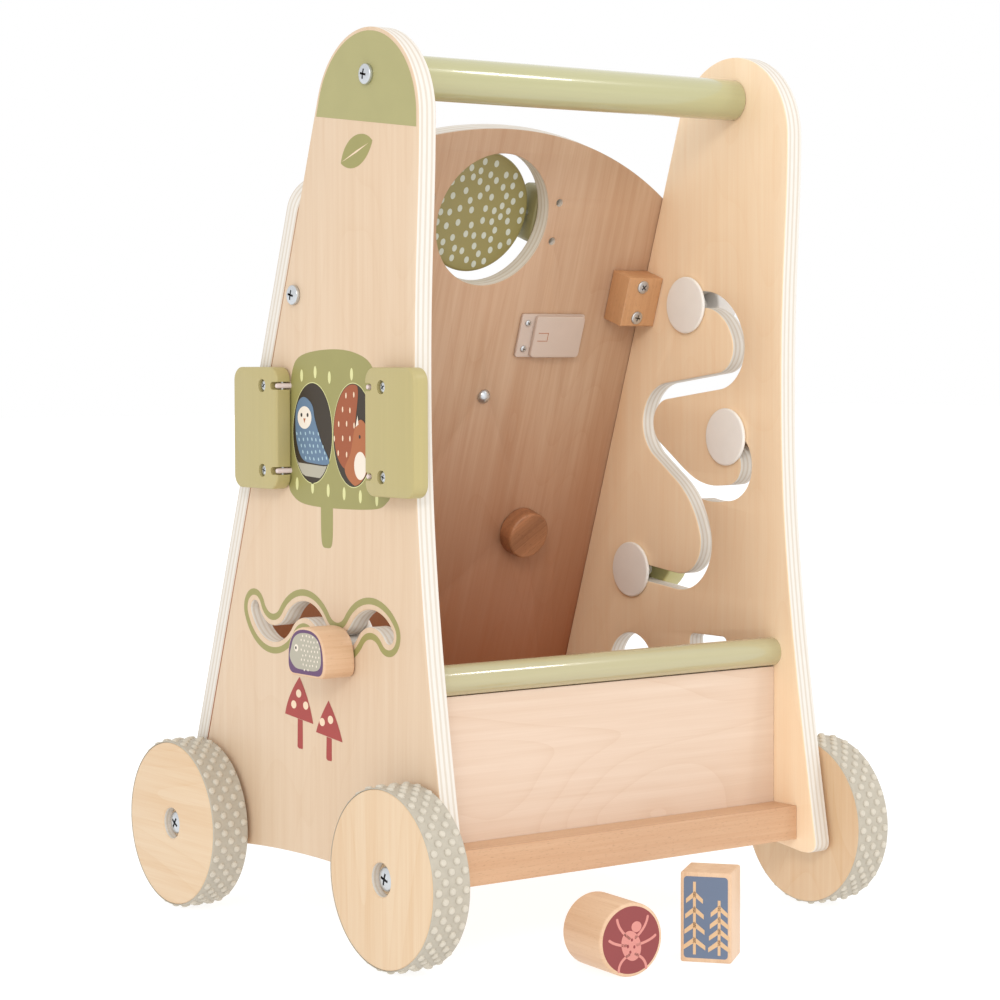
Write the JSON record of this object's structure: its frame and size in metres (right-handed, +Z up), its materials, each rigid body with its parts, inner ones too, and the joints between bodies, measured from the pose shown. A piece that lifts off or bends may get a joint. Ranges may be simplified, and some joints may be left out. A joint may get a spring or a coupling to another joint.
{
  "type": "baby walker",
  "caption": "Wooden push-along baby walker with activity side panels, a leaning front board, a rear tray, a grip bar and rubber-tyred wheels.",
  "frame": {"origin": "on the floor, at the centre of the footprint with the two loose blocks included", "axes": "+Z up, +Y the way the walker is pushed, +X the right-hand side of the child who pushes it"},
  "size_m": [0.3398, 0.3794, 0.524],
  "materials": {
    "plywood": "clear lacquered birch plywood, satin, layered edges",
    "beech": "sanded solid beech, satin",
    "olive_paint": "olive green paint on wood, satin",
    "light_green_paint": "light green paint on wood, satin",
    "rubber": "matte grey-beige rubber with round studs",
    "zinc": "bright zinc plate",
    "frosted_plastic": "translucent frosted plastic"
  },
  "bodies": {
    "frame": {"left_side_panel": "plywood", "right_side_panel": "plywood", "front_panel": "plywood", "rear_low_panel": "plywood", "bottom_strip": "beech", "tray_floor": "plywood", "handle_bar": "olive_paint", "rear_rail": "olive_paint", "handle_bolt_left": "zinc", "handle_bolt_right": "zinc", "side_bolt_left": "zinc", "side_bolt_right": "zinc", "corner_block_left": "beech", "corner_block_right": "beech", "corner_screw_left_1": "zinc", "corner_screw_left_2": "zinc", "corner_screw_right_1": "zinc", "corner_screw_right_2": "zinc", "axle_bolt_front_left": "zinc", "axle_bolt_front_right": "zinc", "axle_bolt_rear_left": "zinc", "axle_bolt_rear_right": "zinc", "clicker_plate": "frosted_plastic", "clicker_screw_1": "zinc", "clicker_screw_2": "zinc", "flip_bracket_left": "olive_paint", "flip_bracket_right": "olive_paint", "flip_axle": "zinc", "gear_bolt": "zinc", "flap_hinge_post_front_1": "zinc", "flap_hinge_post_front_2": "zinc", "flap_hinge_post_rear_1": "zinc", "flap_hinge_post_rear_2": "zinc"},
    "wheel_front_left": {"wheel_disc_front_left": "plywood", "tyre_front_left": "rubber"},
    "wheel_front_right": {"wheel_disc_front_right": "plywood", "tyre_front_right": "rubber"},
    "wheel_rear_left": {"wheel_disc_rear_left": "plywood", "tyre_rear_left": "rubber"},
    "wheel_rear_right": {"wheel_disc_rear_right": "plywood", "tyre_rear_right": "rubber"},
    "front_flap": {"flap_front": "light_green_paint", "flap_hinge_pin_front": "zinc"},
    "rear_flap": {"flap_rear": "light_green_paint", "flap_hinge_pin_rear": "zinc"},
    "flip_wheel": {"flip_disc": "olive_paint"},
    "upper_gear": {"gear_upper": "olive_paint"},
    "lower_gear": {"gear_lower": "beech", "turn_knob": "beech"},
    "slider_1": {"slider_spool_1": "frosted_plastic", "slider_figure_1": "beech"},
    "slider_2": {"slider_spool_2": "frosted_plastic", "slider_figure_2": "beech"},
    "slider_3": {"slider_spool_3": "frosted_plastic", "slider_figure_3": "olive_paint"},
    "wave_slider": {"wave_spool": "frosted_plastic", "wave_knob": "beech"},
    "loose_round_block": {"round_block": "beech"},
    "loose_square_block": {"square_block": "beech"}
  },
  "joints": [
    {"name": "wheel_front_left_spin", "type": "hinge", "parent": "frame", "child": "wheel_front_left", "pos_m": [-0.15765, 0.13772, 0.052], "axis": [1, 0, 0], "continuous": true},
    {"name": "wheel_front_right_spin", "type": "hinge", "parent": "frame", "child": "wheel_front_right", "pos_m": [0.15765, 0.13772, 0.052], "axis": [1, 0, 0], "continuous": true},
    {"name": "wheel_rear_left_spin", "type": "hinge", "parent": "frame", "child": "wheel_rear_left", "pos_m": [-0.15765, -0.09068, 0.052], "axis": [1, 0, 0], "continuous": true},
    {"name": "wheel_rear_right_spin", "type": "hinge", "parent": "frame", "child": "wheel_rear_right", "pos_m": [0.15765, -0.09068, 0.052], "axis": [1, 0, 0], "continuous": true},
    {"name": "front_flap_swing", "type": "hinge", "parent": "frame", "child": "front_flap", "pos_m": [-0.1486, 0.04062, 0.297], "axis": [0, 0, 1], "range_deg": [0, 180]},
    {"name": "rear_flap_swing", "type": "hinge", "parent": "frame", "child": "rear_flap", "pos_m": [-0.1486, -0.05458, 0.297], "axis": [0, 0, -1], "range_deg": [0, 180]},
    {"name": "flip_disc_spin", "type": "hinge", "parent": "frame", "child": "flip_wheel", "pos_m": [0, 0.0524, 0.42951], "axis": [1, 0, 0], "continuous": true},
    {"name": "upper_gear_spin", "type": "hinge", "parent": "frame", "child": "upper_gear", "pos_m": [0.019, 0.0868, 0.31976], "axis": [0, -0.9489, -0.3156], "continuous": true},
    {"name": "lower_gear_spin", "type": "hinge", "parent": "frame", "child": "lower_gear", "pos_m": [0.0692, 0.11607, 0.2318], "axis": [0, -0.9489, -0.3156], "continuous": true},
    {"name": "slider_1_swing", "type": "hinge", "parent": "frame", "child": "slider_1", "pos_m": [0.137, -0.01388, 0.3405], "axis": [1, 0, 0], "range_deg": [0, 88]},
    {"name": "slider_2_swing", "type": "hinge", "parent": "frame", "child": "slider_2", "pos_m": [0.137, -0.03748, 0.2706], "axis": [1, 0, 0], "range_deg": [0, 172]},
    {"name": "slider_3_slide", "type": "slide", "parent": "frame", "child": "slider_3", "axis": [0, -0.9936, -0.1131], "range_m": [0, 0.043]},
    {"name": "wave_slider_swing", "type": "hinge", "parent": "frame", "child": "wave_slider", "pos_m": [-0.137, -0.00798, 0.19594], "axis": [1, 0, 0], "range_deg": [-50, 50]},
    {"name": "round_block_slide", "type": "slide", "parent": "frame", "child": "loose_round_block", "axis": [0, -1, 0], "range_m": [0, 0.04]},
    {"name": "square_block_slide", "type": "slide", "parent": "frame", "child": "loose_square_block", "axis": [0, -1, 0], "range_m": [0, 0.04]}
  ],
  "couplings": [
    {"joint": "lower_gear_spin", "follows": "upper_gear_spin", "ratio": -1.2222}
  ]
}
